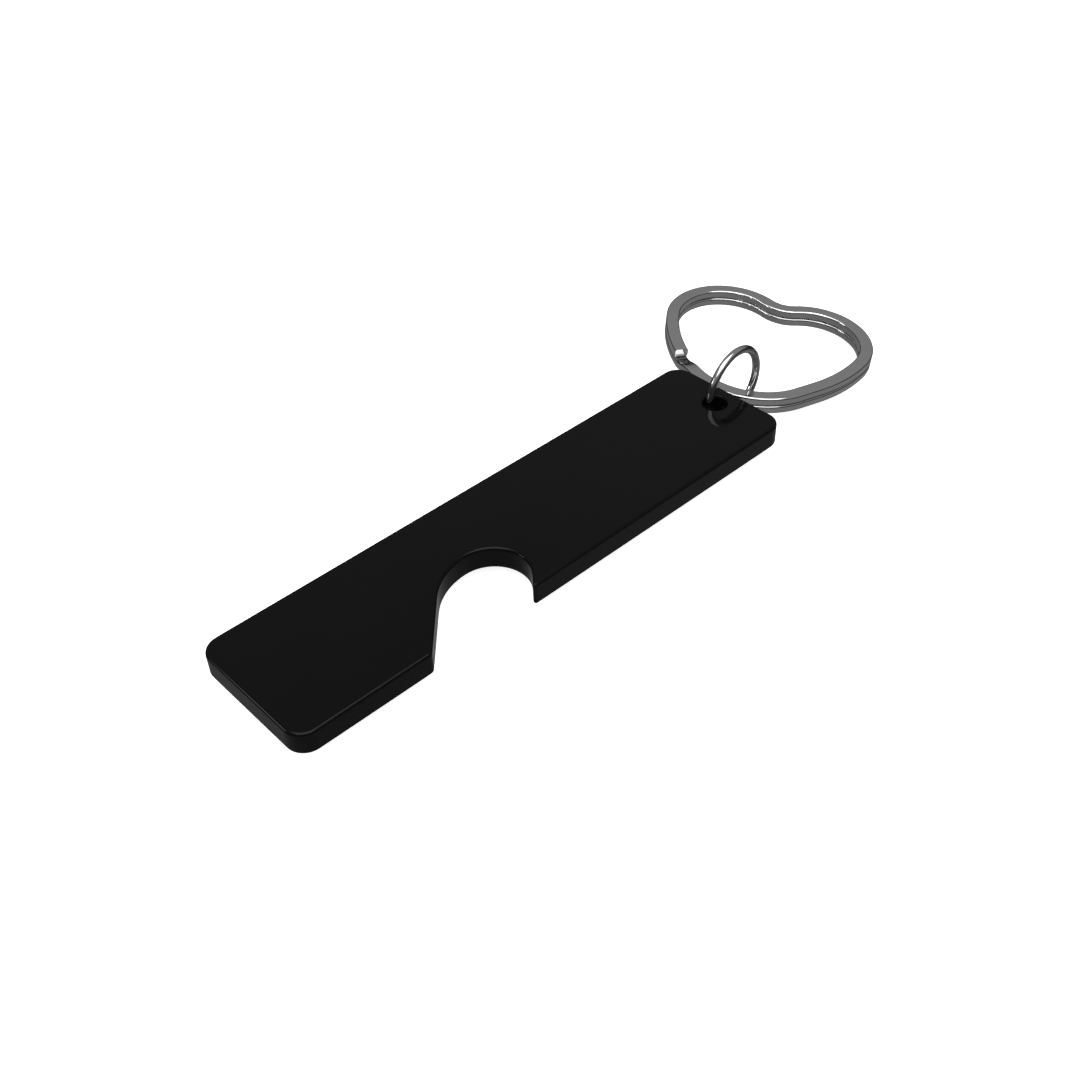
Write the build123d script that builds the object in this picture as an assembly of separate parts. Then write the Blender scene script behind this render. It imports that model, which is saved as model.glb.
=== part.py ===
from build123d import *
import math
import os

# Keychain bottle opener: a flat bar with a cap notch in one long edge, a jump ring through the
# hole at one end, and a heart shaped split ring held by the jump ring.  Millimetres, +Z up.
# The origin is the centre of the cap notch's round, on the bar's underside.
# +X runs along the bar towards the ring end, +Y across it from the notched edge to the plain edge.

# Bar
BODY_LENGTH = 82.0
BODY_WIDTH = 20.0
BODY_THICKNESS = 3.3
BODY_CORNER_RADIUS = 2.6
BODY_EDGE_RADIUS = 0.4

# Cap notch, measured from the centre of its round
NOTCH_FROM_PLAIN_END = 32.4
NOTCH_INSET = 5.1
NOTCH_RADIUS = 4.95
NOTCH_SLOPE_DEG = 46.7
NOTCH_MOUTH_START = -13.6
HOOK_TIP_X = 2.1
HOOK_TIP_RADIUS = 0.3
MOUTH_CORNER_RADIUS = 0.8

# Ring hole
RING_HOLE_FROM_END = 3.5
RING_HOLE_FROM_PLAIN_EDGE = 10.3
RING_HOLE_RADIUS = 1.75
RING_HOLE_EDGE_RADIUS = 0.3

# Jump ring
JUMP_RING_RADIUS = 5.4
JUMP_WIRE_RADIUS = 0.58
JUMP_RING_REACH = 51.0
JUMP_RING_SIDE = 5.4
JUMP_RING_HEIGHT = 3.6
JUMP_RING_YAW_DEG = 3.8
JUMP_SEAM_DEG = 40.0
JUMP_SEAM_GAP = 0.08

# Heart ring: the outer outline is a chain of tangent arcs, the same on both sides of its axis
STRIP_WIDTH = 2.0
STRIP_HEIGHT = 1.25
STRIP_EDGE_RADIUS = 0.28
COIL_GAP = 0.1
LAP_LENGTH = 0.5
RAMP_TIP_DEG = 12.0
HEART_TIP_RADIUS = 11.8
HEART_TIP_DEG = 52.0
HEART_FLAT_LENGTH = 3.2
HEART_SIDE_DEG = 24.5
HEART_LOBE_RADIUS = 9.55
HEART_CLEFT_RADIUS = 3.8
HEART_CLEFT_DEG = 29.0
HEART_TIP_X = 50.85
HEART_TIP_Y = 5.3
HEART_TOP_Z = 2.1
HEART_YAW_DEG = 23.3
HEART_ROLL_DEG = 4.5


def point_on(centre, radius, angle_deg):
    """Point at an angle on a circle round centre."""
    angle = math.radians(angle_deg)
    return Vector(centre.X + radius * math.cos(angle), centre.Y + radius * math.sin(angle))


def notch_face():
    """Cap notch: a slope, a wide arc, the round and a short flat back to the hook's tip."""
    edge_y = -NOTCH_INSET
    below = edge_y - 1.0
    centre = Vector(0, 0)
    top = Vector(0, NOTCH_RADIUS)
    slope = math.radians(NOTCH_SLOPE_DEG)
    mouth = Vector(NOTCH_MOUTH_START, edge_y)
    run_up = Vector(math.cos(slope), math.sin(slope))
    normal = Vector(math.sin(slope), -math.cos(slope))
    # The wide arc touches the slope and the round's top
    wide_radius = normal.dot(top - mouth) / (1 - math.cos(slope))
    wide_centre = top - Vector(0, wide_radius)
    slope_end = wide_centre - normal * wide_radius
    wide_middle = point_on(wide_centre, wide_radius, (90 + 90 + NOTCH_SLOPE_DEG) / 2)
    # The hook's inner flat is tangent to the round and ends at the hook's tip
    hook_tip = Vector(HOOK_TIP_X, edge_y)
    reach = hook_tip.length
    tip_angle = math.degrees(math.atan2(hook_tip.Y, hook_tip.X))
    touch_angle = tip_angle + math.degrees(math.acos(NOTCH_RADIUS / reach))
    touch = point_on(centre, NOTCH_RADIUS, touch_angle)
    round_middle = point_on(centre, NOTCH_RADIUS, (90 + touch_angle) / 2)
    start = mouth + run_up * ((below - edge_y) / math.sin(slope))
    outline = [
        Line(start, slope_end),
        ThreePointArc(slope_end, wide_middle, top),
        ThreePointArc(top, round_middle, touch),
        Line(touch, hook_tip),
        Line(hook_tip, Vector(hook_tip.X, below)),
        Line(Vector(hook_tip.X, below), start),
    ]
    return make_face(outline)


def opener_body():
    """The flat bar, with its notch, its ring hole and rounded edges."""
    middle_x = BODY_LENGTH / 2 - NOTCH_FROM_PLAIN_END
    middle_y = BODY_WIDTH / 2 - NOTCH_INSET
    plan = Pos(middle_x, middle_y) * RectangleRounded(BODY_LENGTH, BODY_WIDTH, BODY_CORNER_RADIUS)
    plan -= notch_face()
    mouth = Vector(NOTCH_MOUTH_START, -NOTCH_INSET)
    hook_tip = Vector(HOOK_TIP_X, -NOTCH_INSET)
    plan = fillet(plan.vertices().sort_by_distance(mouth)[0], MOUTH_CORNER_RADIUS)
    plan = fillet(plan.vertices().sort_by_distance(hook_tip)[0], HOOK_TIP_RADIUS)
    bar = extrude(plan, BODY_THICKNESS)
    rims = bar.edges().filter_by(lambda edge: abs(edge.bounding_box().size.Z) < 1e-6)
    bar = fillet(rims, BODY_EDGE_RADIUS)
    hole_x = BODY_LENGTH - NOTCH_FROM_PLAIN_END - RING_HOLE_FROM_END
    hole_y = BODY_WIDTH - NOTCH_INSET - RING_HOLE_FROM_PLAIN_EDGE
    hole_place = Pos(hole_x, hole_y, BODY_THICKNESS / 2)
    bar -= hole_place * Cylinder(RING_HOLE_RADIUS, BODY_THICKNESS + 2)
    hole_rims = bar.edges().filter_by(GeomType.CIRCLE)
    hole_rims = hole_rims.filter_by(lambda edge: edge.is_closed)
    return fillet(hole_rims, RING_HOLE_EDGE_RADIUS)


def jump_ring():
    """Round wire ring with a butt seam, standing upright through the ring hole."""
    ring = Torus(JUMP_RING_RADIUS, JUMP_WIRE_RADIUS)
    seam = Pos(JUMP_RING_RADIUS, 0, 0) * Box(4 * JUMP_WIRE_RADIUS, JUMP_SEAM_GAP, 4 * JUMP_WIRE_RADIUS)
    ring -= Rot(0, 0, JUMP_SEAM_DEG) * seam
    upright = Rot(90, 0, 0) * ring
    place = Pos(JUMP_RING_REACH, JUMP_RING_SIDE, JUMP_RING_HEIGHT)
    return place * Rot(0, 0, JUMP_RING_YAW_DEG) * upright


def heart_side_radius():
    """Radius of the side arcs that makes the two halves of the heart meet on its axis."""
    tip = math.radians(HEART_TIP_DEG)
    side_end = math.radians(HEART_TIP_DEG + HEART_SIDE_DEG)
    cleft = math.radians(HEART_CLEFT_DEG)
    inward = HEART_LOBE_RADIUS * (math.sin(cleft) + math.sin(side_end))
    inward += HEART_CLEFT_RADIUS * math.sin(cleft)
    outward = HEART_TIP_RADIUS * math.sin(tip) + HEART_FLAT_LENGTH * math.cos(tip)
    return (inward - outward) / (math.sin(side_end) - math.sin(tip))


def heart_turns():
    """Strip centre line round the heart, as (radius, turn) pairs, from the ramp's upper end to its lower end.

    A radius of None is a flat, and its second value is the flat's length.
    """
    half = STRIP_WIDTH / 2
    lobe_deg = 180 - HEART_TIP_DEG - HEART_SIDE_DEG + HEART_CLEFT_DEG
    tip = (HEART_TIP_RADIUS - half, 2 * HEART_TIP_DEG - RAMP_TIP_DEG)
    side = (heart_side_radius() - half, HEART_SIDE_DEG)
    lobe = (HEART_LOBE_RADIUS - half, lobe_deg)
    cleft = (HEART_CLEFT_RADIUS + half, -2 * HEART_CLEFT_DEG)
    return [tip, (None, HEART_FLAT_LENGTH), side, lobe, cleft, lobe, side, (None, LAP_LENGTH)]


def tip_arc_point(angle_deg):
    """Point of the strip's centre line on the tip's arc, in the heart's own frame.

    The frame has its origin at the heart's tip and its axis along X.
    """
    return point_on(Vector(HEART_TIP_RADIUS, 0), HEART_TIP_RADIUS - STRIP_WIDTH / 2, 180 - angle_deg)


def tip_arc_heading(angle_deg):
    """Direction of travel on the tip's arc, towards the heart's tip."""
    angle = math.radians(-90 - angle_deg)
    return Vector(math.cos(angle), math.sin(angle))


def strip_section(point, heading):
    """Cross section of the strip, square to its heading, upright."""
    plane = Plane(origin=point, x_dir=heading.cross(Vector(0, 0, 1)), z_dir=heading)
    return plane * RectangleRounded(STRIP_WIDTH, STRIP_HEIGHT, STRIP_EDGE_RADIUS)


def heart_coil(level):
    """One turn of the strip round the heart, from the ramp's upper end to its lower end."""
    angle = HEART_TIP_DEG - RAMP_TIP_DEG
    start = tip_arc_point(angle) + Vector(0, 0, level)
    heading = tip_arc_heading(angle)
    section = strip_section(start, heading)
    point = start
    pieces = []
    for radius, amount in heart_turns():
        if radius is None:
            piece = Line(point, point + heading * amount)
        else:
            piece = JernArc(point, heading, radius, amount)
        pieces.append(piece)
        point = piece @ 1
        heading = piece % 1
    return sweep(section, path=Wire(pieces))


def ramp(low, high):
    """S bend that takes the strip from the lower turn's end up to the upper turn's start."""
    foot_heading = tip_arc_heading(HEART_TIP_DEG)
    flat_left = HEART_FLAT_LENGTH - LAP_LENGTH
    foot = tip_arc_point(HEART_TIP_DEG) - foot_heading * flat_left + Vector(0, 0, low)
    head_heading = tip_arc_heading(HEART_TIP_DEG - RAMP_TIP_DEG)
    head = tip_arc_point(HEART_TIP_DEG - RAMP_TIP_DEG) + Vector(0, 0, high)
    path = Spline(foot, head, tangents=[foot_heading, head_heading])
    sections = [strip_section(foot, foot_heading), strip_section(head, head_heading)]
    return sweep(sections, path=path, multisection=True)


def heart_key_ring():
    """Two stacked turns of flat strip joined by the ramp, placed beside the bar."""
    high = -STRIP_HEIGHT / 2
    low = high - STRIP_HEIGHT - COIL_GAP
    ring = heart_coil(low) + ramp(low, high) + heart_coil(high)
    place = Pos(HEART_TIP_X, HEART_TIP_Y, HEART_TOP_Z)
    return place * Rot(0, 0, HEART_YAW_DEG) * Rot(HEART_ROLL_DEG, 0, 0) * ring


def main():
    os.makedirs("parts", exist_ok=True)
    export_step(opener_body(), "parts/opener_body.step")
    export_step(jump_ring(), "parts/jump_ring.step")
    export_step(heart_key_ring(), "parts/heart_key_ring.step")


main()
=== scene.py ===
import bmesh
import bpy
import math
from mathutils import Matrix, Vector


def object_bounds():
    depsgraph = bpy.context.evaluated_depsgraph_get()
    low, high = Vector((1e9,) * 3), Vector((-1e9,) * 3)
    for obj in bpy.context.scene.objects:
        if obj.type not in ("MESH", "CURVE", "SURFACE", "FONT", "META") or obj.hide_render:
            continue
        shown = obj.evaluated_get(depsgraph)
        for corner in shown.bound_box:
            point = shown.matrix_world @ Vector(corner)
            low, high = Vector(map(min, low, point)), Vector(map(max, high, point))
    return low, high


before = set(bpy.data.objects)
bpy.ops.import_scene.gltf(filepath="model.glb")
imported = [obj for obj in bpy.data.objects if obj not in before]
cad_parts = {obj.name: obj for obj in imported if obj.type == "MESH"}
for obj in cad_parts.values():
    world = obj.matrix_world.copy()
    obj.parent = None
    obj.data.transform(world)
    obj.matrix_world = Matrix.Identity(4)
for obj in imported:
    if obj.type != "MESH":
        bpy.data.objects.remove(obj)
cad_low, cad_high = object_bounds()

# Metres in a millimetre
MM = 0.001
UP = Vector((0, 0, 1))

# Black coating.  A scale is features in a metre, and a depth is in metres
COATING_DARK = (0.0022, 0.0022, 0.0024, 1)
COATING_LIGHT = (0.0036, 0.0036, 0.0039, 1)
COATING_IOR = 1.23
COATING_ROUGHNESS = 0.045
COATING_CLOUD_SCALE = 60
COATING_CLOUD_ROUGHNESS = 0.035
COATING_DEPTH = 0.0000015
PEEL_SCALE = 900
PEEL_HEIGHT = 0.6
# Handling marks run one way, and only in the lighter patches of the cloud
MARK_SCALE = 700
MARK_TURN = 0.5
MARK_THIN = 0.012
MARK_PATCHES = [(0.5, 0), (0.62, 1)]
MARK_ROUGHNESS = 0.08
MARK_HEIGHT = -0.12

# Nickel plate
NICKEL_CLOUD_SCALE = 160
NICKEL_CLOUD_ROUGHNESS = 0.04
NICKEL_DULL = (0.88, 0.88, 0.89)
NICKEL_BRIGHT = (1, 1, 1.01)
NICKEL_DEPTH = 0.000001
WAVE_SCALE = 420
GRAIN_SCALE = 5200
GRAIN_ROUGHNESS = 0.02
GRAIN_HEIGHT = 0.02
# Scale, turn and thinness of the tumbling scratches, which run two ways
FIRST_SCRATCHES = (2600, 0.4, 0.02)
SECOND_SCRATCHES = (2100, 1.9, 0.016)
SECOND_AMOUNT = 0.7
SCRATCH_STRETCH = 0.04
SCRATCH_ROUGHNESS = 0.05
SCRATCH_DEPTH = 0.05

# Camera
CAMERA_AZIMUTH = math.radians(-131.79)
CAMERA_ELEVATION = math.radians(41.03)
CAMERA_ROLL = math.radians(-2.09)
CAMERA_AIM = Vector((11.14, 3.4, 0)) * MM
CAMERA_DISTANCE = 171.2 * MM
CAMERA_LENS = 44.38
CAMERA_CLIP = 0.01

# Floor and backdrop
FLOOR_HALF = 3.0
FLOOR_GAP = 0.02 * MM
FLOOR_GREY = 0.9
FLOOR_ROUGHNESS = 0.9
# Light that the floor gives off by itself, as a lit table does, which keeps shadows faint
FLOOR_GLOW = 0.9
BACKDROP_RADIUS = 2.5

# Name, place, size and power of each softbox
SOFTBOXES = [
    ("softbox_top", (-0.06, -0.10, 0.5), 0.6, 3.0),
    ("softbox_left", (-0.42, 0.30, 0.2), 0.14, 0.35),
]
OBJECT_MIDDLE = (0.02, 0, 0)
# Grey of the room at each height of a direction, from straight down at -1 to straight up at 1
ROOM = [
    (-1, 0.08),
    (-0.62, 0.26),
    (-0.38, 0.14),
    (-0.2, 0.03),
    (0.12, 0.03),
    (0.3, 0.22),
    (0.6, 0.31),
    (0.8, 0.31),
    (1, 0.2),
]


# Materials


class Maths:
    """A number socket that takes part in Python expressions, one Math node for each operator."""

    def __init__(self, nodes, socket):
        self.nodes = nodes
        self.socket = socket

    def join(self, operation, first, second):
        node = self.nodes.add("ShaderNodeMath", {"operation": operation}, {0: first, 1: second})
        return Maths(self.nodes, node.outputs[0])

    def __add__(self, other):
        return self.join("ADD", self, other)

    def __radd__(self, other):
        return self.join("ADD", other, self)

    def __sub__(self, other):
        return self.join("SUBTRACT", self, other)

    def __rsub__(self, other):
        return self.join("SUBTRACT", other, self)

    def __mul__(self, other):
        return self.join("MULTIPLY", self, other)

    def __rmul__(self, other):
        return self.join("MULTIPLY", other, self)

    def at_most(self, other):
        return self.join("MINIMUM", self, other)


def set_stops(ramp, stops):
    """Give a ramp its stops, each a position from 0 to 1 and a grey."""
    while len(ramp.elements) < len(stops):
        ramp.elements.new(0.5)
    for element, (position, grey) in zip(ramp.elements, stops):
        element.position = position
        element.color = (grey, grey, grey, 1)


class Finish:
    """A material's node tree with one shader, and a method that adds any node to it."""

    def __init__(self, name):
        self.material = bpy.data.materials.new(name)
        self.material.use_nodes = True
        self.tree = self.material.node_tree
        self.shader = self.tree.nodes["Principled BSDF"]
        self.place = self.add("ShaderNodeTexCoord").outputs["Object"]

    def add(self, kind, settings=None, values=None):
        node = self.tree.nodes.new(kind)
        for name, value in (settings or {}).items():
            if name == "stops":
                set_stops(node.color_ramp, value)
            else:
                setattr(node, name, value)
        for socket, value in (values or {}).items():
            self.feed(node.inputs[socket], value)
        return node

    def feed(self, socket, value):
        if isinstance(value, Maths):
            value = value.socket
        if isinstance(value, bpy.types.NodeSocket):
            self.tree.links.new(value, socket)
        else:
            socket.default_value = value

    def noise(self, scale, detail=3.0, place=None):
        """Noise at so many features in a metre, mostly between 0.25 and 0.75."""
        values = {"Vector": place or self.place, "Scale": scale, "Detail": detail, "Roughness": 0.5}
        return Maths(self, self.add("ShaderNodeTexNoise", None, values).outputs[0])

    def band(self, value, stops):
        """A ramp over a number, as another number."""
        return Maths(self, self.add("ShaderNodeValToRGB", {"stops": stops}, {0: value}).outputs[0])

    def mix(self, amount, first, second):
        values = {0: amount, 6: first, 7: second}
        return self.add("ShaderNodeMix", {"data_type": "RGBA"}, values).outputs[2]

    def scratches(self, scale, turn, thin):
        """Short fine lines in one direction, 1 on a line and 0 between."""
        turned = self.add("ShaderNodeMapping", None, {"Vector": self.place, "Rotation": (0, 0, turn)})
        values = {"Vector": turned.outputs[0], "Scale": (1, SCRATCH_STRETCH, 1)}
        drawn = self.add("ShaderNodeMapping", None, values)
        noise = self.noise(scale, 2.0, drawn.outputs[0])
        return self.band(noise, [(0.5 - thin, 0), (0.5, 1), (0.5 + thin, 0)])

    def bump(self, height, depth):
        values = {"Height": height, "Distance": depth, "Strength": 1.0}
        return self.add("ShaderNodeBump", None, values).outputs[0]

    def set(self, **values):
        for name, value in values.items():
            self.feed(self.shader.inputs[name.replace("_", " ")], value)
        return self.material


def black_coating():
    """Smooth gloss black coating with a faint orange peel and light handling marks."""
    finish = Finish("black_gloss_coating")
    peel = finish.noise(PEEL_SCALE, 2.0)
    cloud = finish.noise(COATING_CLOUD_SCALE, 4.0)
    patches = finish.band(cloud, MARK_PATCHES)
    marks = finish.scratches(MARK_SCALE, MARK_TURN, MARK_THIN) * patches
    colour = finish.mix(cloud, COATING_DARK, COATING_LIGHT)
    rough = COATING_ROUGHNESS + cloud * COATING_CLOUD_ROUGHNESS + marks * MARK_ROUGHNESS
    normal = finish.bump(peel * PEEL_HEIGHT + marks * MARK_HEIGHT, COATING_DEPTH)
    return finish.set(Base_Color=colour, Roughness=rough, Normal=normal, IOR=COATING_IOR)


def nickel_plate(name, grey, roughness):
    """Bright nickel plate with soft waves, a fine grain and tumbling scratches two ways."""
    finish = Finish(name)
    waves = finish.noise(WAVE_SCALE, 2.0)
    grain = finish.noise(GRAIN_SCALE)
    first = finish.scratches(*FIRST_SCRATCHES)
    second = finish.scratches(*SECOND_SCRATCHES)
    lines = (first + second * SECOND_AMOUNT).at_most(1)
    cloud = finish.noise(NICKEL_CLOUD_SCALE)
    dull = [grey * tint for tint in NICKEL_DULL] + [1]
    bright = [grey * tint for tint in NICKEL_BRIGHT] + [1]
    colour = finish.mix(cloud, dull, bright)
    rough = roughness + cloud * NICKEL_CLOUD_ROUGHNESS + lines * SCRATCH_ROUGHNESS + grain * GRAIN_ROUGHNESS
    normal = finish.bump(waves + grain * GRAIN_HEIGHT - lines * SCRATCH_DEPTH, NICKEL_DEPTH)
    return finish.set(Base_Color=colour, Roughness=rough, Metallic=1.0, Normal=normal)


# Stage


def camera():
    """Camera that looks down over the plain end, across the notched edge."""
    flat = math.cos(CAMERA_ELEVATION)
    along, across = math.cos(CAMERA_AZIMUTH) * flat, math.sin(CAMERA_AZIMUTH) * flat
    back = Vector((along, across, math.sin(CAMERA_ELEVATION)))
    level = UP.cross(back).normalized()
    rise = back.cross(level)
    right = level * math.cos(CAMERA_ROLL) + rise * math.sin(CAMERA_ROLL)
    upward = rise * math.cos(CAMERA_ROLL) - level * math.sin(CAMERA_ROLL)
    lens = bpy.data.cameras.new("camera")
    lens.lens = CAMERA_LENS
    lens.clip_start = CAMERA_CLIP
    holder = bpy.data.objects.new("camera", lens)
    bpy.context.scene.collection.objects.link(holder)
    turned = Matrix((right, upward, back)).transposed().to_4x4()
    holder.matrix_world = Matrix.Translation(CAMERA_AIM + back * CAMERA_DISTANCE) @ turned
    bpy.context.scene.camera = holder


def stage_piece(name, bm, finish):
    """Put a finished stage mesh in the scene, out of sight of the object's reflections."""
    mesh = bpy.data.meshes.new(name)
    bm.to_mesh(mesh)
    bm.free()
    mesh.materials.append(finish.material)
    piece = bpy.data.objects.new(name, mesh)
    bpy.context.scene.collection.objects.link(piece)
    piece.visible_glossy = False
    return piece


def pale_floor():
    """Plain pale floor under the whole object."""
    bm = bmesh.new()
    bmesh.ops.create_grid(bm, x_segments=1, y_segments=1, size=FLOOR_HALF)
    bmesh.ops.translate(bm, verts=bm.verts, vec=(0, 0, cad_low.z - FLOOR_GAP))
    finish = Finish("pale_floor")
    finish.set(Base_Color=(FLOOR_GREY, FLOOR_GREY, FLOOR_GREY, 1), Roughness=FLOOR_ROUGHNESS)
    finish.set(Specular_IOR_Level=0.0, Emission_Color=(1, 1, 1, 1), Emission_Strength=FLOOR_GLOW)
    stage_piece("floor", bm, finish)


def pale_backdrop():
    """Plain pale dome behind everything.  It gives the object no light and takes none from it."""
    bm = bmesh.new()
    bmesh.ops.create_uvsphere(bm, u_segments=48, v_segments=24, radius=BACKDROP_RADIUS)
    bmesh.ops.reverse_faces(bm, faces=bm.faces)
    finish = Finish("pale_backdrop")
    finish.set(Base_Color=(0, 0, 0, 1), Specular_IOR_Level=0.0)
    finish.set(Emission_Color=(1, 1, 1, 1), Emission_Strength=1.0)
    backdrop = stage_piece("backdrop", bm, finish)
    backdrop.visible_diffuse = False
    backdrop.visible_transmission = False
    backdrop.visible_shadow = False


def soft_light(name, place, size, power):
    """Square softbox at a place, facing the object."""
    lamp = bpy.data.lights.new(name, "AREA")
    lamp.shape = "SQUARE"
    lamp.size = size
    lamp.energy = power
    holder = bpy.data.objects.new(name, lamp)
    bpy.context.scene.collection.objects.link(holder)
    holder.location = place
    holder.rotation_euler = (Vector(place) - Vector(OBJECT_MIDDLE)).to_track_quat("Z", "Y").to_euler()


def studio_light():
    """Two softboxes in a grey room that is darker at eye level, so that metal has dark edges."""
    world = bpy.data.worlds.new("studio")
    bpy.context.scene.world = world
    world.use_nodes = True
    nodes, links = world.node_tree.nodes, world.node_tree.links
    direction = nodes.new("ShaderNodeTexCoord")
    height = nodes.new("ShaderNodeSeparateXYZ")
    spread = nodes.new("ShaderNodeMapRange")
    spread.inputs["From Min"].default_value = -1
    room = nodes.new("ShaderNodeValToRGB")
    set_stops(room.color_ramp, [((level + 1) / 2, grey) for level, grey in ROOM])
    links.new(direction.outputs["Generated"], height.inputs[0])
    links.new(height.outputs["Z"], spread.inputs["Value"])
    links.new(spread.outputs[0], room.inputs[0])
    links.new(room.outputs[0], nodes["Background"].inputs["Color"])
    for name, place, size, power in SOFTBOXES:
        soft_light(name, place, size, power)


camera()
pale_floor()
pale_backdrop()
studio_light()
bpy.context.scene.view_settings.view_transform = "Standard"

# The bar's coating, and the plate of the two rings with its grey and its roughness
finishes = {
    "opener_body": black_coating(),
    "jump_ring": nickel_plate("nickel_wire", 0.62, 0.05),
    "heart_key_ring": nickel_plate("nickel_strip", 0.62, 0.07),
}
for node, material in finishes.items():
    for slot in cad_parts[node].material_slots:
        slot.material = material
